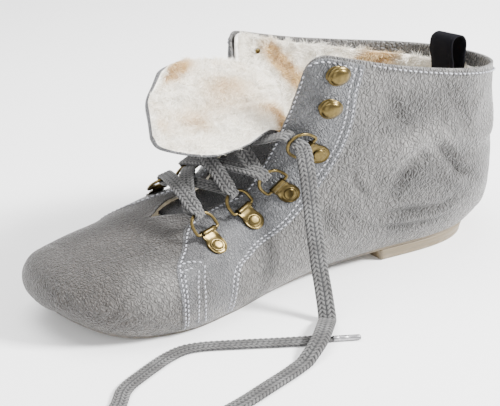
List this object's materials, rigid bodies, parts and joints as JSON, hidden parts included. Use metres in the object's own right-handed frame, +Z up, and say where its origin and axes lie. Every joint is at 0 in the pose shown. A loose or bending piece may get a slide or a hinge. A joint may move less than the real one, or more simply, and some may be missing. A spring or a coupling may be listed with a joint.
{
  "type": "winter boot",
  "caption": "Low-heeled lace-up ankle boot in grey leather with a fleece lining, brass D rings and speed hooks, a folded-down tongue and one loose lace end.",
  "frame": {"origin": "centre of the heel's flat bottom, on the floor", "axes": "-X towards the toe, -Y the foot's inner side, +Z up"},
  "size_m": [0.2716, 0.1693, 0.1368],
  "materials": {
    "leather": "brushed",
    "panel_leather": "satin",
    "lining": "matte",
    "sole_stock": "matte",
    "brass": "satin",
    "braid": "matte",
    "ribbon": "matte",
    "tip_metal": "satin"
  },
  "bodies": {
    "root": {"upper": "leather", "outsole": "sole_stock", "heel": "sole_stock", "facing_near": "panel_leather", "facing_far": "panel_leather", "tongue": "lining", "pull_loop": "ribbon", "lace_crossings": "braid", "lace_end": "braid", "aglet": "tip_metal", "ring_clip_near_1": "brass", "d_ring_near_1": "brass", "ring_clip_near_2": "brass", "d_ring_near_2": "brass", "ring_clip_near_3": "brass", "d_ring_near_3": "brass", "ring_clip_near_4": "brass", "d_ring_near_4": "brass", "hook_near_1": "brass", "hook_near_2": "brass", "ring_clip_far_1": "brass", "d_ring_far_1": "brass", "ring_clip_far_2": "brass", "d_ring_far_2": "brass", "ring_clip_far_3": "brass", "d_ring_far_3": "brass", "ring_clip_far_4": "brass", "d_ring_far_4": "brass", "hook_far_1": "brass", "hook_far_2": "brass"}
  },
  "joints": []
}
